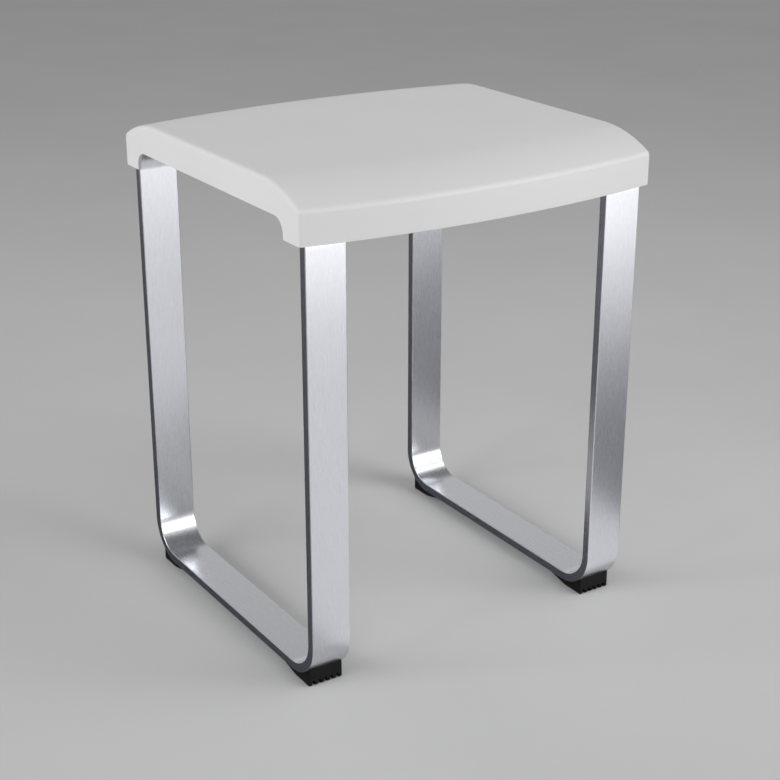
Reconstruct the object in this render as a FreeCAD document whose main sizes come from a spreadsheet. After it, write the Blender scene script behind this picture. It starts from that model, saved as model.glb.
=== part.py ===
import FreeCAD, Part
import math
import os

import Sketcher

# Shower stool: a moulded seat shell on two closed loops of flat aluminium bar,
# tied together by two hidden cross rails, with a grooved rubber foot under each lower bend.
#
# Frame: X runs from the left loop to the right one, Y from front to back, Z up.
# The origin is on the floor, under the middle of the seat. Millimetres.

DRIVING_SIZES = [
    # Seat moulding
    ("seat_width", 375, "outside, across the two side faces"),
    ("seat_depth", 372, "front to back at the middle, where both ends bow out furthest"),
    ("seat_height", 475, "floor to deck"),
    ("seat_bow", 18, "how far each end bows out past its corners"),
    ("seat_wall", 3.5, "moulded wall and deck"),
    ("lip_height", 48, "deck to the lower edge of the front and back lips"),
    ("skirt_height", 30, "deck to the lower edge of the side skirts"),
    ("lip_foot", 27, "length of the full-height part of a side skirt, at each end"),
    ("arch_radius", 14, "round between skirt edge and lip foot"),
    ("waterfall_run", 65, "how far in from the lip the deck starts to fall"),
    ("waterfall_radius", 130, "radius of that fall"),
    ("crease_radius", 6, "round between waterfall and lip face"),
    ("side_edge_radius", 4, "round along the outline of each side face, up its corners and over the deck"),
    ("overlap_past_middle", 30, "how far each half of the moulding runs past the middle"),
    ("rib_thickness", 2.5, "stiffening ribs under the deck"),
    ("rib_spacing", 45, "between ribs that run front to back"),
    ("cross_rib_spacing", 35, "between ribs that run left to right"),
    ("rib_clearance", 0.5, "over the top run of a loop"),
    ("boss_height", 9.5, "deck underside down to the top run of a loop"),
    ("boss_length", 34, "screw boss, along the rail"),
    ("boss_width", 22, "screw boss, across the rail"),
    # Leg loops
    ("bar_width", 40, "flat bar, left to right"),
    ("bar_thickness", 9, "flat bar"),
    ("bend_radius", 40, "outside of each bend"),
    ("bar_edge_radius", 1, "rounded long edges of the bar"),
    ("side_clearance", 4, "between a loop's edge and the inside of the side skirt"),
    ("lip_clearance", 0.5, "between a leg's face and the inside of the lip, at the seat's corner"),
    # Cross rails
    ("rail_width", 30, "flat bar"),
    ("rail_thickness", 4, "flat bar"),
    ("rail_offset", 70, "from the middle to each rail"),
    ("rail_end_inset", 6, "rail end to the loop's outer edge"),
    # Feet
    ("floor_gap", 7, "floor to the underside of a loop"),
    ("foot_length", 46, "front to back"),
    ("foot_heel_run", 24, "length of the slope that lifts the foot's inner end off the floor"),
    ("foot_heel_rise", 5.5, "height of that slope"),
    ("foot_setback", 12, "from the leg's outer face to the foot's end face"),
    ("foot_side_inset", 2, "from the bar's edge to the foot's side"),
    ("foot_edge_radius", 1.5, "round along a foot's upright corners and the edge of its sole"),
    ("groove_width", 3.4, "grip groove, round at the top"),
    ("groove_depth", 5, "grip groove"),
    ("groove_pitch", 6.35, "between grip grooves"),
    # Fasteners
    ("seat_screw_diameter", 6, "M6"),
    ("seat_screw_length", 20, "under the head"),
    ("seat_screw_head", 10.5, "low head, diameter"),
    ("seat_screw_head_height", 2.8, "low head"),
    ("seat_screw_key", 4, "hexagon socket, across flats"),
    ("seat_screw_spacing", 18, "between the two screws where a rail crosses a loop"),
    ("washer_diameter", 12, "outside"),
    ("washer_thickness", 1, "plain washer"),
    ("insert_diameter", 9, "brass insert, outside"),
    ("insert_length", 8, "brass insert"),
    ("foot_screw_diameter", 4, "M4"),
    ("foot_screw_length", 8, "under the head"),
    ("foot_screw_head", 8, "low head, diameter"),
    ("foot_screw_head_height", 2, "low head"),
    ("foot_screw_key", 2.5, "hexagon socket, across flats"),
    ("foot_screw_spacing", 19, "between a foot's two screws, three grooves apart"),
    ("foot_screw_inset", 15, "from the foot's inner end"),
    ("foot_clamped_rubber", 2, "rubber between a foot screw's head and the bar"),
    ("hole_clearance", 0.3, "around a shank or a head, on the radius"),
    ("thread_clearance", 0.05, "between mating threads and around an insert, on the radius"),
    ("blind_hole_margin", 0.5, "hole left beyond the end of a screw or an insert"),
]

GROOVES_PER_FOOT = 5
SOCKET_SHARE_OF_HEAD = 0.6
BELOW_FLOOR = "-1"

# Numbers that sketches use for the points of a line or an arc.
START, END, CENTRE = 1, 2, 3

document = FreeCAD.newDocument("shower_stool")


def fill_sheet():
    """Write each driving size in its own row, with its name as the alias."""
    sheet = document.addObject("Spreadsheet::Sheet", "sizes")
    for row, (alias, value, note) in enumerate(DRIVING_SIZES, start=1):
        sheet.set(f"A{row}", alias)
        sheet.set(f"B{row}", str(value))
        sheet.set(f"C{row}", note)
        sheet.setAlias(f"B{row}", alias)
    document.recompute()
    return sheet


sizes = fill_sheet()


def cell(alias):
    """Expression that reads one driving size."""
    return f"sizes.{alias}"


# Places that several pieces share, each as an expression of the driving sizes.
HALF_WIDTH = "(sizes.seat_width / 2)"
HALF_DEPTH = "(sizes.seat_depth / 2)"
BOW_RADIUS = "((sizes.seat_width ^ 2 / 4 + sizes.seat_bow ^ 2) / (2 * sizes.seat_bow))"
BOW_AXIS_Y = f"({BOW_RADIUS} - {HALF_DEPTH})"
CORNER_Y = f"({HALF_DEPTH} - sizes.seat_bow)"
LIP_UNDERSIDE = "(sizes.seat_height - sizes.lip_height)"
LEG_FACE_Y = f"({CORNER_Y} - sizes.seat_wall - sizes.lip_clearance)"
LOOP_OUTER_X = f"({HALF_WIDTH} - sizes.seat_wall - sizes.side_clearance)"
LOOP_X = f"({LOOP_OUTER_X} - sizes.bar_width / 2)"
DECK_UNDERSIDE = "(sizes.seat_height - sizes.seat_wall)"
LOOP_TOP = f"({DECK_UNDERSIDE} - sizes.boss_height)"
RAIL_TOP = f"({LOOP_TOP} - sizes.bar_thickness)"
RAIL_UNDERSIDE = f"({RAIL_TOP} - sizes.rail_thickness)"
SEAT_SCREW_SEAT = f"({RAIL_UNDERSIDE} - sizes.washer_thickness)"
SEAT_SCREW_REACH = f"({SEAT_SCREW_SEAT} + sizes.seat_screw_length - {LOOP_TOP})"
FOOT_END_Y = f"({LEG_FACE_Y} - sizes.foot_setback)"
FOOT_INNER_Y = f"({FOOT_END_Y} - sizes.foot_length)"
FOOT_SCREW_Y = f"({FOOT_INNER_Y} + sizes.foot_screw_inset)"
FOOT_SCREW_SEAT = "(sizes.floor_gap - sizes.foot_clamped_rubber)"
FOOT_WIDTH = "(sizes.bar_width - 2 * sizes.foot_side_inset)"
BEND_CENTRE_Y = f"({LEG_FACE_Y} - sizes.bend_radius)"
BEND_CENTRE_Z = "(sizes.floor_gap + sizes.bend_radius)"

SIDES = {"left": -1, "right": 1}
ENDS = {"front": -1, "back": 1}


# ---- Small helpers -------------------------------------------------------------------------


def bind(item, **expressions):
    """Tie an object's properties to expressions of the driving sizes."""
    for name, expression in expressions.items():
        item.setExpression(name, str(expression))


def put(item, x="0", y="0", z="0"):
    """Tie an object's position to expressions."""
    for axis, expression in (("x", x), ("y", y), ("z", z)):
        item.setExpression(f".Placement.Base.{axis}", str(expression))


def box(name, x_size, y_size, z_size, x, y, z):
    """A box centred on x and y that stands on z."""
    item = document.addObject("Part::Box", name)
    bind(item, Length=x_size, Width=y_size, Height=z_size)
    put(item, f"{x} - ({x_size}) / 2", f"{y} - ({y_size}) / 2", z)
    return item


def cylinder(name, radius, height, x, y, z):
    """An upright cylinder that stands on z."""
    item = document.addObject("Part::Cylinder", name)
    bind(item, Radius=radius, Height=height)
    put(item, x, y, z)
    return item


def boolean(kind, name, *items):
    """A Part boolean: Cut takes a base and a tool, the others take a list."""
    result = document.addObject(f"Part::{kind}", name)
    if kind == "Cut":
        result.Base, result.Tool = items
    else:
        result.Shapes = list(items)
    return result


def group_of_solids(name, items):
    """One node that holds several separate, identical pieces."""
    group = document.addObject("Part::Compound", name)
    group.Links = items
    group.Label = name
    return group


def new_body(name):
    """A PartDesign body with its own label."""
    body = document.addObject("PartDesign::Body", name)
    body.Label = name
    return body


def origin_feature(body, role):
    """One of the body's own origin planes or axes."""
    return next(item for item in body.Origin.OriginFeatures if item.Role == role)


def new_sketch(body, name, plane):
    """A sketch on one of the body's origin planes."""
    sketch = body.newObject("Sketcher::SketchObject", name)
    sketch.AttachmentSupport = [(origin_feature(body, plane), "")]
    sketch.MapMode = "FlatFace"
    return sketch


def value(expression):
    """The present value of an expression of the driving sizes."""
    return float(sizes.evalExpression(str(expression)))


def point(across, up):
    """A point in a sketch, from two expressions."""
    return FreeCAD.Vector(value(across), value(up), 0)


def circle_at(centre, radius):
    """A full circle in a sketch, from a centre point and a radius expression."""
    return Part.Circle(centre, FreeCAD.Vector(0, 0, 1), value(radius))


class Outline:
    """Draws in a sketch and ties every point and radius to an expression."""

    def __init__(self, sketch):
        self.sketch = sketch

    def add(self, geometry):
        """Add one line, arc or circle and return its number."""
        return self.sketch.addGeometry(geometry, False)

    def dimension(self, kind, where, expression):
        """Add a dimension and tie it to an expression."""
        index = self.sketch.addConstraint(Sketcher.Constraint(kind, *where, value(expression)))
        self.sketch.setExpression(f"Constraints[{index}]", expression)

    def pin(self, geometry, position, across=None, up=None):
        """Fix a point of the sketch at its distances from the origin."""
        if across is not None:
            self.dimension("DistanceX", (-1, 1, geometry, position), across)
        if up is not None:
            self.dimension("DistanceY", (-1, 1, geometry, position), up)

    def closed(self, corners, arc_start=None, arc_centre=None, anticlockwise=True):
        """A closed outline of straight lines through the corners, with one of them an arc.

        The arc runs from the corner numbered arc_start to the next one. The far corner is on the
        arc already, so it is fixed only in the direction that the arc leaves open.
        """
        points = [point(*corner) for corner in corners]
        edges, starts, ends = [], [], []
        for number, (start, end) in enumerate(zip(points, points[1:] + points[:1])):
            if number != arc_start:
                edges.append(self.add(Part.LineSegment(start, end)))
                starts.append(START)
                ends.append(END)
                continue
            centre = point(*arc_centre)
            circle = Part.Circle(centre, FreeCAD.Vector(0, 0, 1), start.distanceToPoint(centre))
            first, last = (start, end) if anticlockwise else (end, start)
            edges.append(self.add(Part.ArcOfCircle(circle, circle.parameter(first), circle.parameter(last))))
            starts.append(START if anticlockwise else END)
            ends.append(END if anticlockwise else START)
            self.pin(edges[-1], CENTRE, *arc_centre)
            steep = abs(end.y - centre.y) > abs(end.x - centre.x)
        for number, edge in enumerate(edges):
            previous = number - 1
            joint = Sketcher.Constraint("Coincident", edges[previous], ends[previous], edge, starts[number])
            self.sketch.addConstraint(joint)
            across, up = corners[number]
            after_arc = arc_start is not None and number == (arc_start + 1) % len(edges)
            if not after_arc:
                self.pin(edge, starts[number], across, up)
            elif steep:
                self.pin(edge, starts[number], across=across)
            else:
                self.pin(edge, starts[number], up=up)

    def circle(self, radius, across, up):
        """A circle with a given centre."""
        index = self.add(circle_at(point(across, up), radius))
        self.dimension("Radius", (index,), radius)
        self.pin(index, CENTRE, across, up)

    def rounded_rectangle(self, low, high, radius):
        """A rectangle from its low corner to its high corner, with four round corners."""
        corners = [(high[0], high[1], -1, -1), (low[0], high[1], 1, -1),
                   (low[0], low[1], 1, 1), (high[0], low[1], -1, 1)]
        arcs = []
        for quarter, (across, up, inward, upward) in enumerate(corners):
            centre = (f"({across}) + {inward} * ({radius})", f"({up}) + {upward} * ({radius})")
            circle = circle_at(point(*centre), radius)
            arc = self.add(Part.ArcOfCircle(circle, quarter * math.pi / 2, (quarter + 1) * math.pi / 2))
            self.pin(arc, CENTRE, *centre)
            self.dimension("Radius", (arc,), radius)
            arcs.append(arc)
        for arc, following in zip(arcs, arcs[1:] + arcs[:1]):
            ends = self.sketch.getPoint(arc, END), self.sketch.getPoint(following, START)
            line = self.add(Part.LineSegment(*ends))
            self.sketch.addConstraint(Sketcher.Constraint("Tangent", arc, END, line, START))
            self.sketch.addConstraint(Sketcher.Constraint("Tangent", line, END, following, START))


def pad_both_ways(body, sketch, name, length):
    """A pad that grows the same amount to both sides of its sketch."""
    pad = body.newObject("PartDesign::Pad", name)
    pad.Profile = sketch
    pad.Midplane = True
    pad.setExpression("Length", length)
    return pad


def round_edges(body, base, name, radius, wanted):
    """Fillet those edges of the base feature that the test accepts."""
    document.recompute()
    names = [f"Edge{index}" for index, edge in enumerate(base.Shape.Edges, start=1) if wanted(edge)]
    fillet = body.newObject("PartDesign::Fillet", name)
    fillet.Base = (base, names)
    fillet.setExpression("Radius", radius)
    return fillet


# ---- Seat shell ----------------------------------------------------------------------------


def half_section(body, inset, bottom):
    """Front half of the seat's section: a flat deck, a round waterfall and an upright lip."""
    sketch = new_sketch(body, f"{body.Name}_section", "YZ_Plane")
    reach = cell("overlap_past_middle")
    lip_y = f"-({HALF_DEPTH} - ({inset}))"
    deck = f"sizes.seat_height - ({inset})"
    arc_y = f"-({HALF_DEPTH} - sizes.waterfall_run)"
    arc_z = "(sizes.seat_height - sizes.waterfall_radius)"
    arc_radius = f"(sizes.waterfall_radius - ({inset}))"
    lip_top = f"{arc_z} + sqrt({arc_radius} ^ 2 - (sizes.waterfall_run - ({inset})) ^ 2)"
    corners = [(lip_y, bottom), (reach, bottom), (reach, deck), (arc_y, deck), (lip_y, lip_top)]
    outline = Outline(sketch)
    outline.closed(corners, arc_start=3, arc_centre=(arc_y, arc_z))
    axis_ends = (BOW_AXIS_Y, bottom), (BOW_AXIS_Y, cell("seat_height"))
    axis = sketch.addGeometry(Part.LineSegment(point(*axis_ends[0]), point(*axis_ends[1])), True)
    outline.pin(axis, START, *axis_ends[0])
    outline.pin(axis, END, *axis_ends[1])
    return sketch


def seat_block(name, inset, bottom):
    """The seat's outside as a full block, or with an inset the space inside its walls.

    The section turns about the axis of the end's bow, so the waterfall and the lip keep their
    height all along the bow. The second end mirrors the first.
    """
    body = new_body(name)
    sketch = half_section(body, inset, bottom)
    turn = body.newObject("PartDesign::Revolution", f"{name}_end")
    turn.Profile = sketch
    turn.ReferenceAxis = (sketch, ["Axis0"])
    turn.Midplane = True
    turn.setExpression("Angle", f"4 * asin({HALF_WIDTH} / {BOW_RADIUS})")
    document.recompute()

    both_ends = body.newObject("PartDesign::Mirrored", f"{name}_both_ends")
    both_ends.Originals = [turn]
    both_ends.MirrorPlane = (origin_feature(body, "XZ_Plane"), [""])
    body.Tip = both_ends
    document.recompute()

    side_x = f"{HALF_WIDTH} - ({inset})"
    far_x = "2 * sizes.seat_width"
    far_y = "sizes.seat_depth"
    sketch = new_sketch(body, f"{name}_sides", "XY_Plane")
    outline = Outline(sketch)
    for sign in (-1, 1):
        near, far = f"{sign} * ({side_x})", f"{sign} * {far_x}"
        outline.closed([(near, f"-{far_y}"), (far, f"-{far_y}"), (far, far_y), (near, far_y)])
    trim = body.newObject("PartDesign::Pocket", f"{name}_trimmed")
    trim.Profile = sketch
    trim.Type = "ThroughAll"
    trim.Midplane = True
    document.recompute()
    return body, trim


def seat_outside():
    """The full block with its creases rounded, then the outline of each side face."""
    body, trim = seat_block("seat_outside", "0", LIP_UNDERSIDE)
    half_width = value(HALF_WIDTH)
    lowest = value(LIP_UNDERSIDE) + 1
    deck = value(cell("seat_height"))

    def is_crease(edge):
        bounds = edge.BoundBox
        level = bounds.ZLength < 0.01 and lowest < bounds.ZMin < deck - 1
        return level and bounds.XLength > half_width

    def is_side_outline(edge):
        on_side_face = all(abs(abs(vertex.X) - half_width) < 0.01 for vertex in edge.Vertexes)
        return on_side_face and edge.BoundBox.XLength < half_width and edge.BoundBox.ZMax > lowest

    creases = round_edges(body, trim, "seat_creases", cell("crease_radius"), is_crease)
    round_edges(body, creases, "seat_side_outline", cell("side_edge_radius"), is_side_outline)
    return body


def skirt_arch():
    """The opening cut through both side skirts, round at its two upper corners."""
    body = new_body("skirt_arch")
    sketch = new_sketch(body, "skirt_arch_outline", "YZ_Plane")
    half_length = f"({CORNER_Y} - sizes.lip_foot)"
    low = (f"-{half_length}", f"{LIP_UNDERSIDE} - sizes.lip_height")
    high = (half_length, "sizes.seat_height - sizes.skirt_height")
    Outline(sketch).rounded_rectangle(low, high, cell("arch_radius"))
    pad_both_ways(body, sketch, "skirt_arch_pad", "2 * sizes.seat_width")
    return body


def rib_positions(spacing, reach):
    """Evenly spaced places on both sides of the middle, as expressions."""
    count = int(value(f"({reach}) / {spacing}"))
    return [f"{step} * {spacing}" for step in range(-count, count + 1)]


def rib_grid():
    """Ribs under the deck, deep between the loops and shallow over them."""
    middle_width = f"2 * ({LOOP_OUTER_X} - sizes.bar_width - sizes.side_clearance)"
    deep_height = f"sizes.seat_height - {RAIL_TOP}"
    shallow_bottom = f"({LOOP_TOP} + sizes.rib_clearance)"
    shallow_height = f"sizes.seat_height - {shallow_bottom}"
    thickness = cell("rib_thickness")
    ribs = []
    for number, x in enumerate(rib_positions(cell("rib_spacing"), f"({middle_width}) / 2")):
        ribs.append(box(f"long_rib_{number}", thickness, cell("seat_depth"), deep_height, x, "0", RAIL_TOP))
    for number, y in enumerate(rib_positions(cell("cross_rib_spacing"), CORNER_Y)):
        ribs.append(box(f"cross_rib_{number}", middle_width, thickness, deep_height, "0", y, RAIL_TOP))
        ribs.append(box(f"end_rib_{number}", cell("seat_width"), thickness, shallow_height,
                        "0", y, shallow_bottom))
    for side, sign in SIDES.items():
        for end, direction in ENDS.items():
            ribs.append(box(f"{end}_{side}_boss", cell("boss_length"), cell("boss_width"),
                            cell("boss_height"), f"{sign} * {LOOP_X}", f"{direction} * sizes.rail_offset",
                            LOOP_TOP))
    return boolean("MultiFuse", "ribs_and_bosses", *ribs)


def screw_pairs(screw_y, spacing):
    """Corner names, each with the places of its two screws, side by side under a loop."""
    pairs = {}
    for side, sign in SIDES.items():
        for end, direction in ENDS.items():
            y = f"{direction} * {screw_y}"
            pairs[f"{end}_{side}"] = [(f"{sign} * {LOOP_X} + {step} * {spacing} / 2", y) for step in (-1, 1)]
    return pairs


def seat_screw_places():
    """Where each rail crosses a loop."""
    return screw_pairs(cell("rail_offset"), cell("seat_screw_spacing"))


def foot_screw_places():
    """Above each foot."""
    return screw_pairs(FOOT_SCREW_Y, cell("foot_screw_spacing"))


def seat_shell():
    """The moulded seat: walls, skirt openings, ribs, and bosses with insert holes."""
    outside = seat_outside()
    inside, _ = seat_block("seat_inside", cell("seat_wall"), f"{LIP_UNDERSIDE} - sizes.lip_height")
    walls = boolean("Cut", "seat_walls", outside, inside)
    open_walls = boolean("Cut", "seat_open_walls", walls, skirt_arch())
    room, _ = seat_block("seat_rib_room", "sizes.seat_wall / 2", LIP_UNDERSIDE)
    ribs = boolean("MultiCommon", "seat_ribs", rib_grid(), room)
    moulding = boolean("MultiFuse", "seat_moulding", open_walls, ribs)
    holes = []
    radius = "sizes.insert_diameter / 2 + sizes.thread_clearance"
    depth = f"max(sizes.insert_length, {SEAT_SCREW_REACH}) + sizes.blind_hole_margin"
    for corner, places in seat_screw_places().items():
        for number, (x, y) in enumerate(places):
            holes.append(cylinder(f"{corner}_insert_hole_{number}", radius, depth, x, y, LOOP_TOP))
    shell = boolean("Cut", "seat_shell", moulding, boolean("MultiFuse", "insert_holes", *holes))
    shell.Label = "seat_shell"
    return shell


# ---- Leg loops and cross rails -------------------------------------------------------------


def leg_loop(side):
    """A closed, rounded rectangle of flat bar that stands front to back."""
    name = f"{side}_leg_loop"
    body = new_body(name)
    put(body, f"{SIDES[side]} * {LOOP_X}")
    sketch = new_sketch(body, f"{name}_path", "YZ_Plane")
    outline = Outline(sketch)
    thickness = cell("bar_thickness")
    outline.rounded_rectangle((f"-{LEG_FACE_Y}", cell("floor_gap")), (LEG_FACE_Y, LOOP_TOP),
                              cell("bend_radius"))
    outline.rounded_rectangle((f"-({LEG_FACE_Y} - {thickness})", f"{cell('floor_gap')} + {thickness}"),
                              (f"{LEG_FACE_Y} - {thickness}", f"{LOOP_TOP} - {thickness}"),
                              f"{cell('bend_radius')} - {thickness}")
    pad = pad_both_ways(body, sketch, f"{name}_bar", cell("bar_width"))
    half_width = value("sizes.bar_width / 2")
    round_edges(body, pad, f"{name}_edges", cell("bar_edge_radius"),
                          lambda edge: all(abs(abs(v.X) - half_width) < 0.01 for v in edge.Vertexes))
    top_holes = new_sketch(body, f"{name}_rail_holes", "XY_Plane")
    top_holes.setExpression(".AttachmentOffset.Base.z", f"{LOOP_TOP} - sizes.bend_radius")
    outline = Outline(top_holes)
    for direction in ENDS.values():
        for step in (-1, 1):
            outline.circle("sizes.seat_screw_diameter / 2 + sizes.hole_clearance",
                           f"{step} * sizes.seat_screw_spacing / 2", f"{direction} * sizes.rail_offset")
    drilled = body.newObject("PartDesign::Pocket", f"{name}_top_drilled")
    drilled.Profile = top_holes
    drilled.Type = "ThroughAll"
    drilled.Reversed = True

    foot_holes = new_sketch(body, f"{name}_foot_holes", "XY_Plane")
    outline = Outline(foot_holes)
    for direction in ENDS.values():
        for step in (-1, 1):
            outline.circle("sizes.foot_screw_diameter / 2 + sizes.thread_clearance",
                           f"{step} * sizes.foot_screw_spacing / 2", f"{direction} * {FOOT_SCREW_Y}")
    tapped = body.newObject("PartDesign::Pocket", f"{name}_tapped")
    tapped.Profile = foot_holes
    tapped.Reversed = True
    tapped.setExpression("Length", f"{FOOT_SCREW_SEAT} + sizes.foot_screw_length + sizes.blind_hole_margin")
    return body


def cross_rail(end):
    """A flat bar under the deck, from one loop to the other, with two holes at each loop."""
    name = f"{end}_cross_rail"
    direction = ENDS[end]
    blank = box(f"{name}_blank", f"2 * ({LOOP_OUTER_X} - sizes.rail_end_inset)", cell("rail_width"),
                cell("rail_thickness"), "0", f"{direction} * sizes.rail_offset", RAIL_UNDERSIDE)
    holes = []
    for corner, places in seat_screw_places().items():
        if not corner.startswith(end):
            continue
        for number, (x, y) in enumerate(places):
            holes.append(cylinder(f"{name}_{corner}_{number}",
                                  "sizes.seat_screw_diameter / 2 + sizes.hole_clearance",
                                  cell("rail_thickness"), x, y, RAIL_UNDERSIDE))
    rail = boolean("Cut", name, blank, boolean("MultiFuse", f"{name}_holes", *holes))
    rail.Label = name
    return rail


# ---- Feet ----------------------------------------------------------------------------------


def foot_blank(name, direction):
    """A rubber block whose top follows the runner and the bend, with grip grooves below."""
    body = new_body(f"{name}_blank")
    sketch = new_sketch(body, f"{name}_side", "YZ_Plane")
    end, inner = f"{direction} * {FOOT_END_Y}", f"{direction} * {FOOT_INNER_Y}"
    bend_y = f"{direction} * {BEND_CENTRE_Y}"
    end_top = f"{BEND_CENTRE_Z} - sqrt(sizes.bend_radius ^ 2 - ({FOOT_END_Y} - {BEND_CENTRE_Y}) ^ 2)"
    heel_y = f"{direction} * ({FOOT_INNER_Y} + sizes.foot_heel_run)"
    corners = [(end, "0"), (end, end_top), (bend_y, cell("floor_gap")), (inner, cell("floor_gap")),
               (inner, cell("foot_heel_rise")), (heel_y, "0")]
    Outline(sketch).closed(corners, arc_start=1, arc_centre=(bend_y, BEND_CENTRE_Z),
                           anticlockwise=direction < 0)
    pad = pad_both_ways(body, sketch, f"{name}_block", FOOT_WIDTH)
    rounded = round_edges(body, pad, f"{name}_rounded", cell("foot_edge_radius"), is_foot_edge)
    document.recompute()
    cut_grooves(body, name, rounded)
    return body


def is_foot_edge(edge):
    """True for the edges of the end face and the flat sole, but not where the foot meets the bar."""
    end_y = value(FOOT_END_Y)
    at_end_face = all(abs(abs(vertex.Y) - end_y) < 0.01 for vertex in edge.Vertexes)
    on_floor = all(abs(vertex.Z) < 0.01 for vertex in edge.Vertexes)
    lowest = min(vertex.Z for vertex in edge.Vertexes)
    inner_end_of_sole = on_floor and all(abs(vertex.Y) < end_y - 0.01 for vertex in edge.Vertexes)
    return (at_end_face or on_floor) and lowest < 0.01 and not inner_end_of_sole


def cut_grooves(body, name, base):
    """Cut the first grip groove at one side, then repeat it across the foot."""
    sketch = new_sketch(body, f"{name}_groove", "XZ_Plane")
    half = "sizes.groove_width / 2"
    first_x = f"-{GROOVES_PER_FOOT - 1} / 2 * sizes.groove_pitch"
    left, right = f"{first_x} - {half}", f"{first_x} + {half}"
    shoulder = f"sizes.groove_depth - {half}"
    corners = [(left, BELOW_FLOOR), (right, BELOW_FLOOR), (right, shoulder), (left, shoulder)]
    Outline(sketch).closed(corners, arc_start=2, arc_centre=(first_x, shoulder))
    groove = body.newObject("PartDesign::Pocket", f"{name}_first_groove")
    groove.Profile = sketch
    groove.Type = "ThroughAll"
    groove.Midplane = True
    document.recompute()
    if groove.Shape.Volume >= base.Shape.Volume:
        raise RuntimeError(f"{name}: the groove cuts nothing")
    pattern = body.newObject("PartDesign::LinearPattern", f"{name}_grooves")
    pattern.Originals = [groove]
    pattern.Direction = (origin_feature(body, "X_Axis"), [""])
    pattern.Occurrences = GROOVES_PER_FOOT
    pattern.setExpression("Length", f"{GROOVES_PER_FOOT - 1} * sizes.groove_pitch")
    body.Tip = pattern


def foot(side, end):
    """A foot with its two stepped screw holes."""
    name = f"{end}_{side}_foot"
    blank = foot_blank(name, ENDS[end])
    put(blank, f"{SIDES[side]} * {LOOP_X}")
    head_hole = "sizes.foot_screw_head / 2 + sizes.hole_clearance"
    shank_hole = "sizes.foot_screw_diameter / 2 + sizes.hole_clearance"
    holes = []
    for number, (x, y) in enumerate(foot_screw_places()[f"{end}_{side}"]):
        holes.append(cylinder(f"{name}_head_hole_{number}", head_hole, FOOT_SCREW_SEAT, x, y, "0"))
        holes.append(cylinder(f"{name}_shank_hole_{number}", shank_hole, BEND_CENTRE_Z, x, y, "0"))
    piece = boolean("Cut", name, blank, boolean("MultiFuse", f"{name}_screw_holes", *holes))
    piece.Label = name
    return piece


# ---- Fasteners -----------------------------------------------------------------------------


def screw(name, kind, x, y, seat):
    """A screw that points up: a head below its seat, a shank above it and a hexagon socket."""
    head_height = cell(f"{kind}_head_height")
    head_bottom = f"{seat} - {head_height}"
    head = cylinder(f"{name}_head", f"sizes.{kind}_head / 2", head_height, x, y, head_bottom)
    shank = cylinder(f"{name}_shank", f"sizes.{kind}_diameter / 2", cell(f"{kind}_length"), x, y, seat)
    blank = boolean("MultiFuse", f"{name}_blank", head, shank)
    socket = document.addObject("Part::Prism", f"{name}_socket")
    socket.Polygon = 6
    socket_depth = f"{head_height} * {SOCKET_SHARE_OF_HEAD}"
    bind(socket, Circumradius=f"sizes.{kind}_key / sqrt(3)", Height=socket_depth)
    put(socket, x, y, head_bottom)
    return boolean("Cut", name, blank, socket)


def ring(name, outer, inner, height, x, y, z):
    """A plain ring: a washer, or an insert with its thread drawn as a bore."""
    return boolean("Cut", name, cylinder(f"{name}_disc", outer, height, x, y, z),
                   cylinder(f"{name}_bore", inner, height, x, y, z))


def seat_fasteners(corner, places):
    """The screws, washers and threaded inserts of one rail crossing."""
    screws, washers, inserts = [], [], []
    for number, (x, y) in enumerate(places):
        screws.append(screw(f"{corner}_seat_screw_{number}", "seat_screw", x, y, SEAT_SCREW_SEAT))
        washers.append(ring(f"{corner}_washer_{number}", "sizes.washer_diameter / 2",
                            "sizes.seat_screw_diameter / 2 + sizes.hole_clearance",
                            cell("washer_thickness"), x, y, SEAT_SCREW_SEAT))
        inserts.append(ring(f"{corner}_insert_{number}", "sizes.insert_diameter / 2",
                            "sizes.seat_screw_diameter / 2 + sizes.thread_clearance",
                            cell("insert_length"), x, y, LOOP_TOP))
    return [group_of_solids(f"{corner}_seat_screws", screws),
            group_of_solids(f"{corner}_seat_washers", washers),
            group_of_solids(f"{corner}_seat_inserts", inserts)]


def foot_fasteners(corner, places):
    """The two screws of one foot."""
    screws = [screw(f"{corner}_foot_screw_{number}", "foot_screw", x, y, FOOT_SCREW_SEAT)
              for number, (x, y) in enumerate(places)]
    return group_of_solids(f"{corner}_foot_screws", screws)


# ---- Assembly ------------------------------------------------------------------------------


def build():
    """Make every sub-part and return them in order."""
    pieces = [seat_shell()]
    pieces += [leg_loop(side) for side in SIDES]
    pieces += [cross_rail(end) for end in ENDS]
    pieces += [foot(side, end) for end in ENDS for side in SIDES]
    for corner, places in seat_screw_places().items():
        pieces += seat_fasteners(corner, places)
    for corner, places in foot_screw_places().items():
        pieces.append(foot_fasteners(corner, places))
    document.recompute()
    return pieces


def check(pieces):
    """Stop if any object failed or any sub-part is empty or broken."""
    for item in document.Objects:
        if "Invalid" in item.State or "Error" in item.State:
            raise RuntimeError(f"{item.Name} failed: {item.State}")
    for piece in pieces:
        if piece.Shape.isNull() or not piece.Shape.isValid():
            raise RuntimeError(f"{piece.Label} has no valid shape")


def write(pieces):
    """Write each sub-part to its own file."""
    os.makedirs("parts", exist_ok=True)
    for piece in pieces:
        piece.Shape.exportStep(f"parts/{piece.Label}.step")
        bounds = piece.Shape.optimalBoundingBox()
        print(f"{piece.Label}: {len(piece.Shape.Solids)} solid(s), "
              f"{bounds.XLength:.1f} x {bounds.YLength:.1f} x {bounds.ZLength:.1f} mm")


pieces = build()
check(pieces)
write(pieces)
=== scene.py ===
import math

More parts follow.
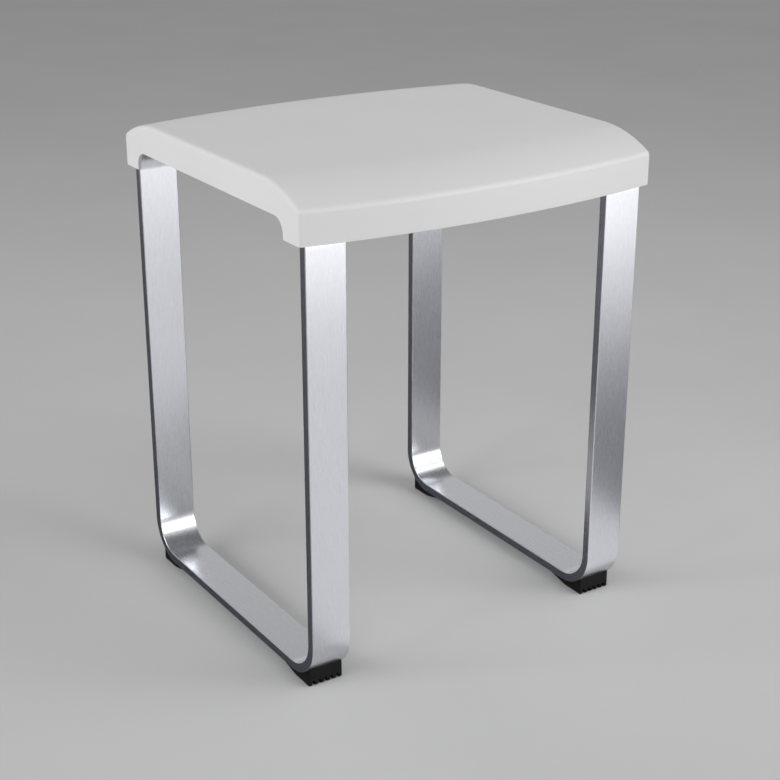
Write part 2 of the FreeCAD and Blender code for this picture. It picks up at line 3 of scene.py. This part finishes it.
import bmesh
import bpy
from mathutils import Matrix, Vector


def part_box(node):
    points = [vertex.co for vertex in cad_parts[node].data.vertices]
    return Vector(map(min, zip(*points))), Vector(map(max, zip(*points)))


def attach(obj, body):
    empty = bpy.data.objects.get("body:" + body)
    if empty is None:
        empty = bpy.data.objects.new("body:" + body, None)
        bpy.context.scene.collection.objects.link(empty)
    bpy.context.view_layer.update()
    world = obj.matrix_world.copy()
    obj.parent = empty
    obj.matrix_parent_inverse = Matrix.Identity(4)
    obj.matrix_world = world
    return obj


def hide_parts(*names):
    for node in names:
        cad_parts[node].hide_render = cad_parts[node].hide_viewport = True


bl_info = {
    "name": "Shower stool",
    "version": (1, 0, 0),
    "blender": (4, 5, 0),
    "location": "3D View > Sidebar > Shower stool",
    "description": "Builds the visible pieces and finishes of a shower stool around its frame",
    "category": "Object",
}

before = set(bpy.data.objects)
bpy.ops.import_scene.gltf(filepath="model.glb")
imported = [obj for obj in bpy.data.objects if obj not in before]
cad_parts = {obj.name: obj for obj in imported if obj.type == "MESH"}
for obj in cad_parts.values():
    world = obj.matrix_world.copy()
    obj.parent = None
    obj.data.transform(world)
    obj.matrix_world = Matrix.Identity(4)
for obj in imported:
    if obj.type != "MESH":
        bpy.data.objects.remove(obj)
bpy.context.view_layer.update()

BODY = "root"
SIDES = ("left", "right")
ENDS = ("front", "back")
CORNERS = [f"{end}_{side}" for end in ENDS for side in SIDES]
MM = 0.001

# Vertices nearer than this are one, and faces that turn less than this are one flat face.
SAME_POINT = 1e-6
SAME_PLANE = math.radians(0.3)

# Segments in a quarter bend of the bar, in its edge rounds, and in the other pieces' edge rounds.
BEND_SEGMENTS = 24
BAR_EDGE_SEGMENTS = 4
EDGE_SEGMENTS = 2

# Range that a noise pattern's values usually fill.
NOISE_LOW = 0.3
NOISE_HIGH = 0.7

# Scale of broad unevenness on each surface, in soft patches to the metre: about 56, 143 and 333 mm
# across.
BAR_PATCHES = 18.0
SEAT_PATCHES = 7.0
FLOOR_PATCHES = 3.0

# Drawing lines: how far they are drawn out along the bar, and what the patches add to their finish.
LINES_DRAWN_OUT = 0.012
PATCH_SHARE = 0.35

# How tool marks are stretched: along a rail, and evenly round a turned piece.
ALONG_RAIL = (0.02, 1, 1)
ROUND_SHANK = (0.3, 0.3, 1)

# Stage: half the floor's width, where the camera aims beside the stool's middle, and cards' lift.
FLOOR_REACH = 12.0
AIM_X = 6.6 * MM
AIM_Y = -4.5 * MM
CARD_LIFT = 1 * MM

# Room around the stool: the sine of an angle above level, and the scene-linear grey there.
ROOM_HORIZON = (0.05, (0.5, 0.5, 0.5, 1))
ROOM_BRIGHTEST = (0.35, (0.75, 0.75, 0.75, 1))
ROOM_OVERHEAD = (0.8, (0.2, 0.2, 0.2, 1))

# Angle that a light panel fans out over, as with a grid on a soft box.
PANEL_SPREAD = math.radians(110)

# Light panels: name, place, the point each faces, width, height, watts, and whether it is left out
# of diffuse light, so that only reflections show it.
MID_STOOL = (0, 0, 0.3)
PANELS = (
    ("left", (-3.1, 0.1, 1.35), MID_STOOL, 2.2, 1.6, 21, False),
    ("front", (2.0, -2.7, 1.3), MID_STOOL, 2.2, 1.6, 18, False),
    ("overhead", (1.0, -0.8, 1.9), MID_STOOL, 1.0, 1.0, 2.5, False),
    ("low", (0.45, -1.2, 0.45), (0.0, 0.0, 0.35), 1.2, 0.8, 2.0, True),
)

# Cards on the floor: name, front left corner, back right corner and sRGB tone.
DARK_CARD = "#5a5c62"
CARDS = (
    ("dark_card_left", (-1.6, -0.17), (-0.181, 2.0), DARK_CARD),
    ("dark_card_middle", (0.0, -0.17), (0.139, 0.2), DARK_CARD),
    ("dark_card_behind", (-0.18, 0.2), (0.139, 2.0), DARK_CARD),
    ("white_card_near", (-0.12, -0.75), (0.3, -0.17), "#ffffff"),
    ("white_card_far", (-0.12, -1.5), (1.3, -0.75), "#f4f4f4"),
    ("grey_card", (0.3, -0.75), (0.9, 0.15), "#85878c"),
)


# ---- Settings ------------------------------------------------------------------------------


def linear(hex_colour):
    """Scene-linear colour, with alpha, of an sRGB hex value such as #c8c8c8."""
    levels = [int(hex_colour[start:start + 2], 16) / 255 for start in (1, 3, 5)]
    return tuple(level / 12.92 if level <= 0.04045 else ((level + 0.055) / 1.055) ** 2.4
                 for level in levels) + (1.0,)


def length(name, description, default):
    """A length setting, in metres and shown in scene units."""
    return bpy.props.FloatProperty(name=name, description=description, default=default,
                                   min=0.0, precision=5, subtype="DISTANCE", unit="LENGTH")


def colour(name, description, default):
    """A colour setting, with its default as an sRGB hex value."""
    return bpy.props.FloatVectorProperty(name=name, description=description, size=4, subtype="COLOR",
                                         min=0.0, max=1.0, default=linear(default))


def share(name, description, default):
    """A plain share from 0 to 1."""
    return bpy.props.FloatProperty(name=name, description=description, default=default,
                                   min=0.0, max=1.0, subtype="FACTOR")


def angle(name, description, default):
    """An angle setting, with its default in degrees."""
    return bpy.props.FloatProperty(name=name, description=description, default=math.radians(default),
                                   subtype="ANGLE", unit="ROTATION")


class LoopSettings(bpy.types.PropertyGroup):
    thickness: length("Bar thickness", "Thickness of the flat bar", 9 * MM)
    bend: length("Bend radius", "Outside radius of each bend", 40 * MM)
    edge: length("Edge round", "Round on the long edges of the bar", 0.9 * MM)
    metal: colour("Aluminium", "Colour of the anodised bar", "#d5d7dc")
    roughness: share("Roughness", "How far the satin finish spreads a reflection", 0.27)
    grain: length("Grain width", "Width of one drawing line along the bar", 0.3 * MM)


class SeatSettings(bpy.types.PropertyGroup):
    plastic: colour("Plastic", "Colour of the moulding", "#dfdfdf")
    roughness: share("Roughness", "How matte the moulded skin is", 0.5)
    edge: length("Edge round", "Round on the lower edges, ribs and bosses", 0.5 * MM)
    texture: length("Texture", "Width of one pit of the mould's spark-eroded texture", 0.9 * MM)


class FootSettings(bpy.types.PropertyGroup):
    rubber: colour("Rubber", "Colour of the feet", "#0c0c0c")
    roughness: share("Roughness", "How dull the rubber is", 0.7)
    edge: length("Edge round", "Round on the foot's sharper edges", 0.25 * MM)


class HardwareSettings(bpy.types.PropertyGroup):
    steel: colour("Stainless steel", "Colour of rails, screws and washers", "#b9b8b4")
    brass: colour("Brass", "Colour of the threaded inserts", "#b98f4e")
    edge: length("Edge round", "Broken edge of a turned or sawn piece", 0.2 * MM)


class StageSettings(bpy.types.PropertyGroup):
    floor: colour("Floor", "Colour of the floor", "#d2d2d2")
    azimuth: angle("Azimuth", "Camera's turn round the stool, anticlockwise from its front", -32.97)
    elevation: angle("Elevation", "Camera's height above level", 21.84)
    distance: length("Distance", "From the camera to the point it looks at", 1.6236)
    aim_height: length("Aim height", "Height of the point the camera looks at", 0.2055)
    lens: bpy.props.FloatProperty(name="Lens", description="Focal length on a 36 mm wide sensor",
                                  default=74.7, unit="CAMERA")


# ---- Small helpers -------------------------------------------------------------------------


def settings(name):
    """One of this script's own setting groups."""
    return getattr(bpy.context.scene, f"stool_{name}")


def add_node(tree, kind, inputs=None, links=None, **attributes):
    """Add a shader node with its attributes, its input values and the outputs linked into it."""
    node = tree.nodes.new(kind)
    for name, value in attributes.items():
        setattr(node, name, value)
    for socket, value in (inputs or {}).items():
        node.inputs[socket].default_value = value
    for socket, source in (links or {}).items():
        tree.links.new(source, node.inputs[socket])
    return node


def new_material(name, **inputs):
    """A node material with plain values on its shader; gives the material, its tree and shader."""
    material = bpy.data.materials.new(name)
    material.use_nodes = True
    shader = material.node_tree.nodes["Principled BSDF"]
    for socket, value in inputs.items():
        shader.inputs[socket.replace("_", " ")].default_value = value
    return material, material.node_tree, shader


def finish_piece(name, bm, material, replaced):
    """Turn a bmesh into a smooth-shaded piece that rides on the stool and stands for CAD nodes."""
    mesh = bpy.data.meshes.new(name)
    bm.to_mesh(mesh)
    bm.free()
    mesh.materials.append(material)
    mesh.shade_smooth()
    piece = bpy.data.objects.new(name, mesh)
    bpy.context.scene.collection.objects.link(piece)
    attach(piece, BODY)
    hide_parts(*replaced)
    piece.modifiers.new("flat faces stay flat", "WEIGHTED_NORMAL")


def round_sharp_edges(bm, offset, segments, sharper_than=40):
    """Round every edge whose two faces turn by more than so many degrees."""
    sharp = [edge for edge in bm.edges if edge.calc_face_angle(0) > math.radians(sharper_than)]
    bmesh.ops.bevel(bm, geom=sharp, offset=offset, offset_type="OFFSET", affect="EDGES",
                    segments=segments, profile=0.5, material=-1)


def softened(name, node, edge, material):
    """Make a piece of a node's own shape, its flat faces made whole and its sharp edges rounded."""
    bm = bmesh.new()
    bm.from_mesh(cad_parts[node].data)
    bmesh.ops.remove_doubles(bm, verts=list(bm.verts), dist=SAME_POINT)
    bmesh.ops.dissolve_limit(bm, angle_limit=SAME_PLANE, verts=list(bm.verts), edges=list(bm.edges))
    round_sharp_edges(bm, edge, EDGE_SEGMENTS)
    finish_piece(name, bm, material, [node])


def moved_vertices(extruded):
    """The new vertices of an extrusion."""
    return [item for item in extruded["geom"] if isinstance(item, bmesh.types.BMVert)]


# ---- Materials -----------------------------------------------------------------------------


def dimmed(rgba, factor):
    """A colour with its brightness scaled."""
    return tuple(min(1.0, channel * factor) for channel in rgba[:3]) + (1.0,)


def vary_colour(tree, shader, pattern, rgba, darkest, lightest):
    """Let a pattern shift the colour between a darker and a lighter shade of it."""
    blend = add_node(tree, "ShaderNodeMapRange", links={"Value": pattern.outputs["Fac"]},
                     inputs={"From Min": NOISE_LOW, "From Max": NOISE_HIGH})
    shade = add_node(tree, "ShaderNodeMix", data_type="RGBA",
                     inputs={"A": dimmed(rgba, darkest), "B": dimmed(rgba, lightest)},
                     links={"Factor": blend.outputs["Result"]})
    tree.links.new(shade.outputs["Result"], shader.inputs["Base Color"])


def vary_skin(tree, shader, pattern, smoothest, roughest, strength, height):
    """Let a pattern shift the roughness and stand up as fine relief."""
    rough = add_node(tree, "ShaderNodeMapRange", links={"Value": pattern.outputs["Fac"]},
                     inputs={"From Min": NOISE_LOW, "From Max": NOISE_HIGH,
                             "To Min": smoothest, "To Max": roughest})
    bump = add_node(tree, "ShaderNodeBump", links={"Height": pattern.outputs["Fac"]},
                    inputs={"Strength": strength, "Distance": height})
    tree.links.new(rough.outputs["Result"], shader.inputs["Roughness"])
    tree.links.new(bump.outputs["Normal"], shader.inputs["Normal"])


def bar_aluminium():
    """Aluminium flat bar, drawn, brushed along its length and clear anodised.

    The anodic layer gives a soft satin reflection; the drawing lines streak it along the bar.
    The lines are really about 0.1 mm wide and are drawn coarser so that they show.
    """
    look = settings("loops")
    material, tree, shader = new_material("satin anodised aluminium", Metallic=1.0)
    place = add_node(tree, "ShaderNodeTexCoord")
    parts = add_node(tree, "ShaderNodeSeparateXYZ", links={"Vector": place.outputs["Object"]})
    depth = add_node(tree, "ShaderNodeAttribute", attribute_name="depth_in_bar")
    along = add_node(tree, "ShaderNodeMath", operation="ADD",
                     links={0: parts.outputs["Y"], 1: parts.outputs["Z"]})
    slow = add_node(tree, "ShaderNodeMath", operation="MULTIPLY", inputs={1: LINES_DRAWN_OUT},
                    links={0: along.outputs[0]})
    lines = add_node(tree, "ShaderNodeCombineXYZ", links={"X": parts.outputs["X"],
                     "Y": depth.outputs["Fac"], "Z": slow.outputs[0]})
    streaks = add_node(tree, "ShaderNodeTexNoise", inputs={"Scale": 1 / look.grain, "Detail": 3.0},
                       links={"Vector": lines.outputs["Vector"]})
    patches = add_node(tree, "ShaderNodeTexNoise", inputs={"Scale": BAR_PATCHES, "Detail": 2.0},
                       links={"Vector": place.outputs["Object"]})
    mixed = add_node(tree, "ShaderNodeMath", operation="MULTIPLY_ADD", inputs={1: PATCH_SHARE},
                     links={0: patches.outputs["Fac"], 2: streaks.outputs["Fac"]})
    # The lines with their share of the patches run from about 0.4 to 0.95.
    rough = add_node(tree, "ShaderNodeMapRange", inputs={"From Min": 0.4, "From Max": 0.95,
                     "To Min": look.roughness - 0.015, "To Max": look.roughness + 0.02},
                     links={"Value": mixed.outputs[0]})
    bump = add_node(tree, "ShaderNodeBump", inputs={"Strength": 0.04, "Distance": 0.003 * MM},
                    links={"Height": streaks.outputs["Fac"]})
    vary_colour(tree, shader, streaks, look.metal, darkest=0.99, lightest=1.006)
    tree.links.new(rough.outputs["Result"], shader.inputs["Roughness"])
    tree.links.new(bump.outputs["Normal"], shader.inputs["Normal"])
    return material


def seat_plastic():
    """Polypropylene, injection moulded in a spark-eroded mould.

    The fine even pitting makes the skin matte with a faint broad sheen. The pits are really about
    0.2 mm wide and are drawn coarser so that they show.
    """
    look = settings("seat")
    material, tree, shader = new_material("moulded polypropylene", IOR=1.49, Subsurface_Weight=0.06,
                                          Subsurface_Radius=(1.0, 0.9, 0.8), Subsurface_Scale=2 * MM)
    place = add_node(tree, "ShaderNodeTexCoord")
    pits = add_node(tree, "ShaderNodeTexNoise", inputs={"Scale": 1 / look.texture, "Detail": 4.0},
                    links={"Vector": place.outputs["Object"]})
    flow = add_node(tree, "ShaderNodeTexNoise", inputs={"Scale": SEAT_PATCHES, "Detail": 1.0},
                    links={"Vector": place.outputs["Object"]})
    vary_colour(tree, shader, flow, look.plastic, darkest=0.98, lightest=1.01)
    vary_skin(tree, shader, pits, smoothest=look.roughness - 0.05, roughest=look.roughness + 0.07,
              strength=0.25, height=0.05 * MM)
    return material


def foot_rubber():
    """Black thermoplastic rubber, moulded.

    Dull, with a greyish bloom in soft patches and a fine moulded grain.
    """
    look = settings("feet")
    material, tree, shader = new_material("moulded black rubber", IOR=1.5, Specular_IOR_Level=0.2)
    place = add_node(tree, "ShaderNodeTexCoord")
    grain = add_node(tree, "ShaderNodeTexNoise", inputs={"Scale": 1 / (0.7 * MM), "Detail": 3.0},
                     links={"Vector": place.outputs["Object"]})
    bloom = add_node(tree, "ShaderNodeTexNoise", inputs={"Scale": 1 / (12 * MM), "Detail": 2.0},
                     links={"Vector": place.outputs["Object"]})
    vary_colour(tree, shader, bloom, look.rubber, darkest=0.8, lightest=1.3)
    vary_skin(tree, shader, grain, smoothest=look.roughness - 0.06, roughest=look.roughness + 0.08,
              strength=0.35, height=0.05 * MM)
    return material


def worked_metal(name, tint, stretch, roughness, grain):
    """A metal whose tool marks run along the direction in which the pattern is stretched."""
    material, tree, shader = new_material(name, Metallic=1.0)
    place = add_node(tree, "ShaderNodeTexCoord")
    fitted = add_node(tree, "ShaderNodeMapping", inputs={"Scale": stretch},
                      links={"Vector": place.outputs["Object"]})
    marks = add_node(tree, "ShaderNodeTexNoise", inputs={"Scale": 1 / grain, "Detail": 3.0},
                     links={"Vector": fitted.outputs["Vector"]})
    vary_colour(tree, shader, marks, tint, darkest=0.85, lightest=1.05)
    vary_skin(tree, shader, marks, smoothest=roughness - 0.06, roughest=roughness + 0.08,
              strength=0.15, height=0.02 * MM)
    return material


def rail_steel():
    """Stainless flat bar, brushed along its length: a grey sheen with lines from side to side."""
    return worked_metal("brushed stainless steel", settings("hardware").steel, ALONG_RAIL,
                        roughness=0.32, grain=0.5 * MM)


def screw_steel():
    """Stainless fasteners, turned and tumbled: soft and even, with fine rings down the shank."""
    return worked_metal("turned stainless steel", settings("hardware").steel, ROUND_SHANK,
                        roughness=0.26, grain=0.4 * MM)


def insert_brass():
    """Free-cutting brass, turned: a warm sheen with fine rings."""
    return worked_metal("turned brass", settings("hardware").brass, ROUND_SHANK,
                        roughness=0.28, grain=0.4 * MM)


def floor_paint():
    """Pale floor paint, rolled on: flat, with faint broad unevenness."""
    look = settings("stage")
    material, tree, shader = new_material("rolled floor paint", Roughness=0.9, Specular_IOR_Level=0.0)
    place = add_node(tree, "ShaderNodeTexCoord")
    patches = add_node(tree, "ShaderNodeTexNoise", inputs={"Scale": FLOOR_PATCHES, "Detail": 3.0},
                       links={"Vector": place.outputs["Object"]})
    vary_colour(tree, shader, patches, look.floor, darkest=0.98, lightest=1.02)
    return material


# ---- Leg loops -----------------------------------------------------------------------------


def depth_below_outline(y, z, low, high, radius):
    """Distance from a point to a rounded rectangle's outline, inwards."""
    beyond_y = abs(y - (low.y + high.y) / 2) - ((high.y - low.y) / 2 - radius)
    beyond_z = abs(z - (low.z + high.z) / 2) - ((high.z - low.z) / 2 - radius)
    outside = math.hypot(max(beyond_y, 0), max(beyond_z, 0))
    return radius - outside - min(max(beyond_y, beyond_z), 0)


def bar_ring(low, high, thickness, bend):
    """One flat ring of the loop's side view: a rectangle with round corners, inset by the bar."""
    bm = bmesh.new()
    corners = [(low.y, low.z), (high.y, low.z), (high.y, high.z), (low.y, high.z)]
    bm.faces.new([bm.verts.new((low.x, y, z)) for y, z in corners])
    bmesh.ops.bevel(bm, geom=list(bm.verts), offset=bend, offset_type="OFFSET", affect="VERTICES",
                    segments=BEND_SEGMENTS, profile=0.5, material=-1)
    inner = list(bm.faces)
    bmesh.ops.inset_region(bm, faces=inner, thickness=thickness, use_even_offset=True,
                           use_boundary=True)
    bmesh.ops.delete(bm, geom=inner, context="FACES")
    return bm


def leg_loop(side, look, material):
    """One closed loop of flat bar, with soft long edges."""
    low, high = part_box(f"{side}_leg_loop")
    bm = bar_ring(low, high, look.thickness, look.bend)
    grown = bmesh.ops.extrude_face_region(bm, geom=list(bm.faces))
    bmesh.ops.translate(bm, vec=(high.x - low.x, 0, 0), verts=moved_vertices(grown))
    bmesh.ops.recalc_face_normals(bm, faces=list(bm.faces))
    round_sharp_edges(bm, look.edge, BAR_EDGE_SEGMENTS)
    depth = bm.verts.layers.float.new("depth_in_bar")
    for vert in bm.verts:
        vert[depth] = depth_below_outline(vert.co.y, vert.co.z, low, high, look.bend)
    finish_piece(f"{side}_loop", bm, material, [f"{side}_leg_loop"])


class STOOL_OT_loops(bpy.types.Operator):
    """Two closed loops of flat aluminium bar"""
    bl_idname = "stool.loops"
    bl_label = "Leg loops"

    def execute(self, context):
        look = settings("loops")
        material = bar_aluminium()
        for side in SIDES:
            leg_loop(side, look, material)
        return {"FINISHED"}


# ---- Seat ----------------------------------------------------------------------------------


class STOOL_OT_seat(bpy.types.Operator):
    """The moulded seat, with its ribs and screw bosses"""
    bl_idname = "stool.seat"
    bl_label = "Seat"

    def execute(self, context):
        softened("moulded_seat", "seat_shell", settings("seat").edge, seat_plastic())
        return {"FINISHED"}


# ---- Feet ----------------------------------------------------------------------------------


class STOOL_OT_feet(bpy.types.Operator):
    """Four grooved rubber feet"""
    bl_idname = "stool.feet"
    bl_label = "Feet"

    def execute(self, context):
        material = foot_rubber()
        edge = settings("feet").edge
        for corner in CORNERS:
            softened(f"{corner}_rubber_foot", f"{corner}_foot", edge, material)
        return {"FINISHED"}


# ---- Rails and fasteners -------------------------------------------------------------------


class STOOL_OT_hardware(bpy.types.Operator):
    """Cross rails, screws, washers and threaded inserts"""
    bl_idname = "stool.hardware"
    bl_label = "Rails and fasteners"

    def execute(self, context):
        rail, screw, insert = rail_steel(), screw_steel(), insert_brass()
        edge = settings("hardware").edge
        for end in ENDS:
            softened(f"{end}_rail_bar", f"{end}_cross_rail", edge, rail)
        for corner in CORNERS:
            for kind in ("foot_screws", "seat_screws", "seat_washers"):
                softened(f"{corner}_steel_{kind}", f"{corner}_{kind}", edge, screw)
            softened(f"{corner}_brass_inserts", f"{corner}_seat_inserts", edge, insert)
        return {"FINISHED"}


# ---- Stage ---------------------------------------------------------------------------------


def add_floor():
    """A wide plain floor."""
    bm = bmesh.new()
    bmesh.ops.create_grid(bm, x_segments=1, y_segments=1, size=FLOOR_REACH)
    mesh = bpy.data.meshes.new("floor")
    bm.to_mesh(mesh)
    bm.free()
    mesh.materials.append(floor_paint())
    floor = bpy.data.objects.new("floor", mesh)
    bpy.context.scene.collection.objects.link(floor)


def add_camera(look):
    """A camera that looks at the stool from the front left and a little above."""
    back = Vector((math.sin(look.azimuth) * math.cos(look.elevation),
                   -math.cos(look.azimuth) * math.cos(look.elevation), math.sin(look.elevation)))
    data = bpy.data.cameras.new("camera")
    data.lens = look.lens
    camera = bpy.data.objects.new("camera", data)
    camera.location = Vector((AIM_X, AIM_Y, look.aim_height)) + back * look.distance
    camera.rotation_euler = (-back).to_track_quat("-Z", "Y").to_euler()
    bpy.context.scene.collection.objects.link(camera)
    bpy.context.scene.camera = camera


def add_panel(name, place, aim, width, height, power, reflection_only):
    """A soft rectangular light; one that is for reflections only adds no diffuse light."""
    data = bpy.data.lights.new(name, "AREA")
    data.shape = "RECTANGLE"
    data.size, data.size_y = width, height
    data.energy = power
    data.spread = PANEL_SPREAD
    light = bpy.data.objects.new(name, data)
    light.location = place
    light.rotation_euler = (Vector(aim) - Vector(place)).to_track_quat("-Z", "Y").to_euler()
    light.visible_camera = False
    light.visible_diffuse = not reflection_only
    bpy.context.scene.collection.objects.link(light)


def add_card(name, low, high, tone):
    """A card lying on the floor that only reflections see, to shade the satin bar's faces."""
    bm = bmesh.new()
    # A square of one metre, scaled to the card.
    bmesh.ops.create_grid(bm, x_segments=1, y_segments=1, size=0.5)
    bmesh.ops.scale(bm, vec=(high[0] - low[0], high[1] - low[1], 1), verts=list(bm.verts))
    bmesh.ops.translate(bm, vec=((low[0] + high[0]) / 2, (low[1] + high[1]) / 2, CARD_LIFT),
                        verts=list(bm.verts))
    mesh = bpy.data.meshes.new(name)
    bm.to_mesh(mesh)
    bm.free()
    paper, *_ = new_material(f"{name} paper", Roughness=1.0, Specular_IOR_Level=0.0,
                             Base_Color=linear(tone))
    mesh.materials.append(paper)
    card = bpy.data.objects.new(name, mesh)
    card.visible_camera = False
    card.visible_diffuse = False
    card.visible_shadow = False
    bpy.context.scene.collection.objects.link(card)


def add_world():
    """A pale room, brightest a little above eye level and darker overhead."""
    world = bpy.data.worlds.new("studio")
    world.use_nodes = True
    tree = world.node_tree
    place = add_node(tree, "ShaderNodeTexCoord")
    parts = add_node(tree, "ShaderNodeSeparateXYZ", links={"Vector": place.outputs["Generated"]})
    ramp = add_node(tree, "ShaderNodeValToRGB", links={"Fac": parts.outputs["Z"]})
    stops = ramp.color_ramp.elements
    stops[0].position, stops[0].color = ROOM_HORIZON
    stops[1].position, stops[1].color = ROOM_OVERHEAD
    bright = stops.new(ROOM_BRIGHTEST[0])
    bright.color = ROOM_BRIGHTEST[1]
    tree.links.new(ramp.outputs["Color"], tree.nodes["Background"].inputs["Color"])
    bpy.context.scene.world = world


class STOOL_OT_stage(bpy.types.Operator):
    """Floor, soft studio lights and camera"""
    bl_idname = "stool.stage"
    bl_label = "Stage"

    def execute(self, context):
        context.scene.view_settings.view_transform = "Standard"
        add_floor()
        add_world()
        add_camera(settings("stage"))
        for panel in PANELS:
            add_panel(*panel)
        for card in CARDS:
            add_card(*card)
        return {"FINISHED"}


# ---- Add-on --------------------------------------------------------------------------------


OPERATORS = (STOOL_OT_loops, STOOL_OT_seat, STOOL_OT_feet, STOOL_OT_hardware, STOOL_OT_stage)
GROUPS = {"loops": LoopSettings, "seat": SeatSettings, "feet": FootSettings,
          "hardware": HardwareSettings, "stage": StageSettings}


class STOOL_PT_panel(bpy.types.Panel):
    """Lists the pieces in the order in which they are made, with their settings"""
    bl_idname = "STOOL_PT_panel"
    bl_label = "Shower stool"
    bl_space_type = "VIEW_3D"
    bl_region_type = "UI"
    bl_category = "Shower stool"

    def draw(self, context):
        for operator, name in zip(OPERATORS, GROUPS):
            group = settings(name)
            box = self.layout.box()
            box.operator(operator.bl_idname)
            for prop in group.bl_rna.properties:
                if prop.identifier not in ("rna_type", "name"):
                    box.prop(group, prop.identifier)


def register():
    for cls in (*GROUPS.values(), *OPERATORS, STOOL_PT_panel):
        bpy.utils.register_class(cls)
    for name, group in GROUPS.items():
        setattr(bpy.types.Scene, f"stool_{name}", bpy.props.PointerProperty(type=group))


def unregister():
    for name in GROUPS:
        delattr(bpy.types.Scene, f"stool_{name}")
    for cls in (STOOL_PT_panel, *OPERATORS, *GROUPS.values()):
        bpy.utils.unregister_class(cls)


def main():
    register()
    bpy.ops.stool.loops()
    bpy.ops.stool.seat()
    bpy.ops.stool.feet()
    bpy.ops.stool.hardware()
    bpy.ops.stool.stage()


if __name__ == "__main__":
    main()
